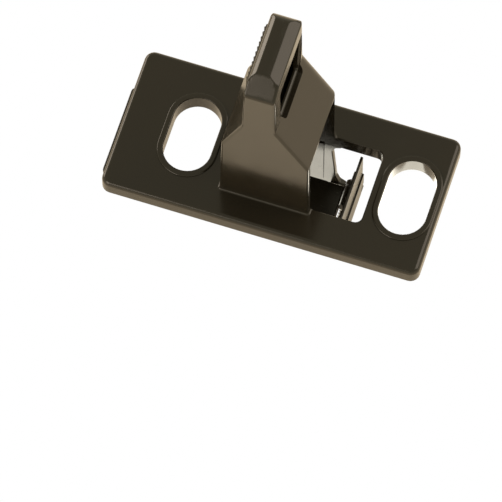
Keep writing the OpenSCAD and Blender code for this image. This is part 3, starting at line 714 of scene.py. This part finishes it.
bores = gather([turned("bore", "Z", (-15.85, y), [(-11, 1.25), (-7, 1.25)]) for y in (-3.4, 3.4)])
work(carrier, "cut", bores, turned("pin_eye", "Y", (ARM_X, ARM_Z), [(-15, 1.2), (15, 1.2)]))
finish(carrier, "catch_carrier_box", carrier_plastic, "slide", "catch_carrier")

# %% Arm
blade_line = [(19.6, -18.0), (22.7, -18.0), (22.7, -12.0), (22.25, -12.0), (22.25, 0), (21.4, 0),
              (21.4, -12.0),
              (19.6, -12.0)]
arm = prism("arm", blade_line, [0.1, 0.1, 0.15, 0.1, 0.25, 0.25, 0.25, 0.3], "Y", soft(-11.5, 11.5, 0.3))
stem_line = [(22.7, -16.5), (19.6, -16.5), (19.6, -18.33), *arc(ARM_X, ARM_Z, BARREL, 104, 360, 20)]
stem = prism("stem", stem_line, 0, "Y", soft(-9.2, 9.2, 0.25))
work(arm, "add", stem)
notch = slab("notch", (16.0, -2.5, -25), (22.2, 2.5, -12), 0.3)
work(arm, "cut", notch, turned("arm_eye", "Y", (ARM_X, ARM_Z), [(-12, 1.25), (12, 1.25)]))
finish(arm, "catch_arm_blade", arm_plastic, "arm", "catch_arm")

# %% [markdown]
# ## Screws, washers and rivets, set out by one tree
# Four shoulder screws hold the slide up, each over a washer, and two rivets hold the carrier. Each
# is turned once as a small mesh, and a node tree puts a copy on every point it is given. The copies
# are made real at the end.

# %% Fasteners
copies = new_tree("copies_on_points",
                  [("Part", "NodeSocketObject", None), ("Finish", "NodeSocketMaterial", None)])
given = add(copies, "NodeGroupInput")
part_shape = add(copies, "GeometryNodeObjectInfo", {"Object": given.outputs["Part"]})
set_out = add(copies, "GeometryNodeInstanceOnPoints", {"Points": given.outputs["Geometry"],
                                                       "Instance": part_shape.outputs["Geometry"]})
real = add(copies, "GeometryNodeRealizeInstances", {"Geometry": set_out.outputs["Instances"]})
coat = add(copies, "GeometryNodeSetMaterial", {"Geometry": real.outputs["Geometry"],
                                               "Material": given.outputs["Finish"]})
add(copies, "NodeGroupOutput", {"Geometry": coat.outputs["Geometry"]})


def set_copies(name, part, places, material, body, node):
    """Makes one piece of a part's copies."""
    piece = run_tree(points_piece(name, places), copies, part=part, finish=material)
    bpy.data.objects.remove(part)
    return finish(piece, name, material, body, node)


# a pan head with a domed face and a cross recess; the recess opens downwards
screw = turned("screw", "Z", (0, 0), [(-10.4, 0.9), (-10.38, 1.6), (-10.2, 2.3), (-9.9, 2.65), (-9.5, 2.8),
                                      (-8.85, 2.8), (-8.8, 2.7), (-8.8, 1.5), (2.4, 1.5), (2.6, 1.3)])
cross = [slab("cross", lo, hi, 0.05) for lo, hi in (((-1.6, -0.35, -12), (1.6, 0.35, -9.7)),
                                                    ((-0.35, -1.6, -12), (0.35, 1.6, -9.7)))]
work(screw, "cut", *cross)
on_plate = [(x, y, 0) for x, y in SCREWS]
set_copies("shoulder_screws", screw, on_plate, screw_steel, "housing", "slide_screws")
washer = turned("washer", "Z", (0, 0), [(-8.8, 3.05), (-8.7, 3.2), (-8.3, 3.2), (-8.2, 3.1)])
work(washer, "cut", turned("washer_eye", "Z", (0, 0), [(-10, 1.52), (-7, 1.52)]))
set_copies("plain_washers", washer, on_plate, screw_steel, "housing", "slide_washers")
rivet = turned("rivet", "Z", (0, 0), [(-10.7, 0.8), (-10.62, 1.3), (-10.4, 1.75), (-10.1, 2.0), (-9.9, 2.1),
                                      (-9.9, 1.25), (-6.0, 1.25), (-6.0, 2.1), (-5.8, 2.0), (-5.5, 1.75),
                                      (-5.28, 1.3), (-5.2, 0.8)])
set_copies("domed_rivets", rivet, [(-15.85, -3.4, 0), (-15.85, 3.4, 0)], rivet_steel, "slide",
           "carrier_rivets")

# %% Pins and rods
trigger_pin = turned("pin", "Y", PIVOT, [(-13.3, 1.25), (-13.05, 1.5), (13.95, 1.5), (14.2, 1.25)])
finish(trigger_pin, "trigger_pivot_pin", pin_steel, "housing", "trigger_pin")
arm_pin = turned("pin", "Y", (ARM_X, ARM_Z), [(-11.5, 1.0), (-11.3, 1.2), (11.3, 1.2), (11.5, 1.0)])
finish(arm_pin, "arm_pivot_pin", pin_steel, "slide", "arm_pin")
rods = gather([turned("rod", "X", (y, -3.2), [(-45.85, 0.6), (-45.5, 1.0), (-19.55, 1.0)])
               for y in (-16.6, 16.6)])
finish(rods, "spring_guide_rods", screw_steel, "housing", "spring_rods")

# %% [markdown]
# ## Springs
# A coil spring is a spiral with a round wire swept along it, which is just what Geometry Nodes'
# spiral and curve-to-mesh nodes do. The two return springs sit between the slide's tabs and the
# plate's seats. They shorten as the slide moves, but here each is made at one length and follows
# neither body. The small torsion spring stands the arm up.

# %% Springs
coil = new_tree("coil_of_wire",
                [("Turns", "NodeSocketFloat", 11.0), ("Coil radius", "NodeSocketFloat", 0.0015),
                                 ("Length", "NodeSocketFloat", 0.018),
                 ("Wire radius", "NodeSocketFloat", 0.0003),
                                 ("Place", "NodeSocketVector", None), ("Turned", "NodeSocketVector", None),
                                 ("Finish", "NodeSocketMaterial", None)])
given = add(coil, "NodeGroupInput")
spiral = add(coil, "GeometryNodeCurveSpiral", {"Resolution": 26, "Rotations": given.outputs["Turns"],
                                               "Start Radius": given.outputs["Coil radius"],
                                               "End Radius": given.outputs["Coil radius"],
                                               "Height": given.outputs["Length"]})
section = add(coil, "GeometryNodeCurvePrimitiveCircle",
              {"Resolution": 10, "Radius": given.outputs["Wire radius"]})
wire = add(coil, "GeometryNodeCurveToMesh", {"Curve": spiral.outputs["Curve"],
                                             "Profile Curve": section.outputs["Curve"], "Fill Caps": True})
moved = add(coil, "GeometryNodeTransform",
            {"Geometry": wire.outputs["Mesh"], "Translation": given.outputs["Place"],
                                            "Rotation": given.outputs["Turned"]})
real = add(coil, "GeometryNodeRealizeInstances", {"Geometry": moved.outputs["Geometry"]})
coat = add(coil, "GeometryNodeSetMaterial", {"Geometry": real.outputs["Geometry"],
                                             "Material": given.outputs["Finish"]})
add(coil, "NodeGroupOutput", {"Geometry": coat.outputs["Geometry"]})

TAB_FACE, SEAT_FACE, WIRE = -39.75, -21.45, 0.275
for node, y in (("front_spring", -16.6), ("back_spring", 16.6)):
    spring = run_tree(points_piece(node, []), coil, turns=11.0, coil_radius=1.475 * MM, wire_radius=WIRE * MM,
                      length=(SEAT_FACE - TAB_FACE - 0.65) * MM, turned=Vector((0, math.pi / 2, 0)),
                      finish=spring_steel,
                      place=Vector((TAB_FACE + 0.325, y, -3.2)) * MM)
    spring.data.shade_smooth()
    spring.name = node.replace("spring", "return_coil")
    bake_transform(spring)
    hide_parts(node)
    print(spring.name, "has", len(spring.data.polygons), "faces")

torsion = run_tree(points_piece("torsion", []), coil, turns=4.0, coil_radius=1.65 * MM, wire_radius=0.3 * MM,
                   length=3.8 * MM, turned=Vector((-math.pi / 2, 0, 0)), finish=spring_steel,
                   place=Vector((ARM_X, -1.9, ARM_Z)) * MM)
legs = [turned("leg", "Z", (ARM_X + 1.65, y), [(ARM_Z, 0.3), (ARM_Z + 6.5, 0.3), (ARM_Z + 6.6, 0.2)])
        for y in (-1.9, 1.9)]
torsion = gather([torsion, *legs])
finish(torsion, "arm_torsion_coil", spring_steel, "arm", "arm_spring", crisp=50)

# %% [markdown]
# ## The set
# A gloss part takes its look from what it mirrors. Its upright faces mirror the table, so the table
# is pale, warm and well lit, and its level faces mirror the room above, which is dimmer. To the
# camera the table shows as plain white paper, and so does the room, so their shaders are brighter
# for the eye than for what falls on the part. A softbox on the right lightens the ridge's right
# side, one on the left its left edge, and one in front gives small highlights on round edges. White
# cards that lie under the window and the right slot throw light up onto the walls in them.

# %% Table
half_side = 20.0
table_z = CAD_BOX[0][2] - 0.2 * MM
data = bpy.data.meshes.new("table")
data.from_pydata([(-half_side, -half_side, table_z), (half_side, -half_side, table_z),
                  (half_side, half_side, table_z), (-half_side, half_side, table_z)], [], [(0, 1, 2, 3)])
table = bpy.data.objects.new("table", data)
bpy.context.scene.collection.objects.link(table)
paper = bpy.data.materials.new("warm_white_paper")
paper.use_nodes = True
tree = paper.node_tree
tree.nodes.clear()
seen = add(tree, "ShaderNodeLightPath").outputs["Is Camera Ray"]
real_sheet = add(tree, "ShaderNodeBsdfPrincipled", {"Base Color": colour("#F3E7D6"), "Roughness": 0.7,
                                                    "Emission Color": colour("#FFEFD8"),
                                                    "Emission Strength": 0.25})
white_sheet = add(tree, "ShaderNodeEmission", {"Color": (1, 1, 1, 1), "Strength": 1.0})
choice = add(tree, "ShaderNodeMixShader",
             {0: seen, 1: real_sheet.outputs["BSDF"], 2: white_sheet.outputs["Emission"]})
add(tree, "ShaderNodeOutputMaterial", {"Surface": choice.outputs["Shader"]})
data.materials.append(paper)
print("table at", round(table_z / MM, 1), "mm")

# %% Room and softboxes
room = bpy.data.worlds.new("dim_room")
room.use_nodes = True
tree = room.node_tree
tree.nodes.clear()
direction = add(tree, "ShaderNodeTexCoord").outputs["Generated"]
split = add(tree, "ShaderNodeSeparateXYZ", {"Vector": direction})
height = add(tree, "ShaderNodeMapRange", {"Value": split.outputs["Z"], "From Min": 0.05, "From Max": 0.75,
                                          "To Min": 0.9, "To Max": 0.5})
sky = add(tree, "ShaderNodeBackground", {"Color": colour("#FFF7D9"), "Strength": height.outputs["Result"]})
paper_sky = add(tree, "ShaderNodeBackground", {"Color": (1, 1, 1, 1), "Strength": 1.0})
seen = add(tree, "ShaderNodeLightPath").outputs["Is Camera Ray"]
choice = add(tree, "ShaderNodeMixShader",
             {0: seen, 1: sky.outputs["Background"], 2: paper_sky.outputs["Background"]})
add(tree, "ShaderNodeOutputWorld", {"Surface": choice.outputs["Shader"]})
bpy.context.scene.world = room


def softbox(name, place, aim_at, length, width, brightness, tint="#FFEEDB"):
    """A rectangular area light that faces a point and looks that bright."""
    lamp = bpy.data.lights.new(name, "AREA")
    lamp.shape = "RECTANGLE"
    lamp.size = length
    lamp.size_y = width
    lamp.energy = brightness * math.pi * length * width
    lamp.color = colour(tint)[:3]
    box = bpy.data.objects.new(name, lamp)
    bpy.context.scene.collection.objects.link(box)
    box.location = place
    box.rotation_euler = (Vector(aim_at) - Vector(place)).to_track_quat("-Z", "Y").to_euler()
    return box


softbox("right_softbox", (0.75, 0.48, 0.9), (0, 0, 0.03), 0.9, 0.9, 2.1)
softbox("front_softbox", (-0.55, -0.95, 0.6), (0, 0, 0.03), 0.7, 0.7, 3.2)
softbox("left_softbox", (-1.1, 0.46, 0.24), (0, 0, 0.05), 0.8, 0.42, 4.5)
softbox("window_card", (2 * MM, 4 * MM, table_z + 0.1 * MM), (2 * MM, 4 * MM, 1), 26 * MM, 34 * MM, 2.9,
        "#FFFBEC")
softbox("slot_card", (40 * MM, 3 * MM, table_z + 0.1 * MM), (40 * MM, 3 * MM, 1), 15 * MM, 42 * MM, 3.5,
        "#FFFBEC")
bpy.context.scene.view_settings.view_transform = "Standard"
bpy.context.scene.view_settings.look = "None"
print("three softboxes, two cards under the part and a dim room")
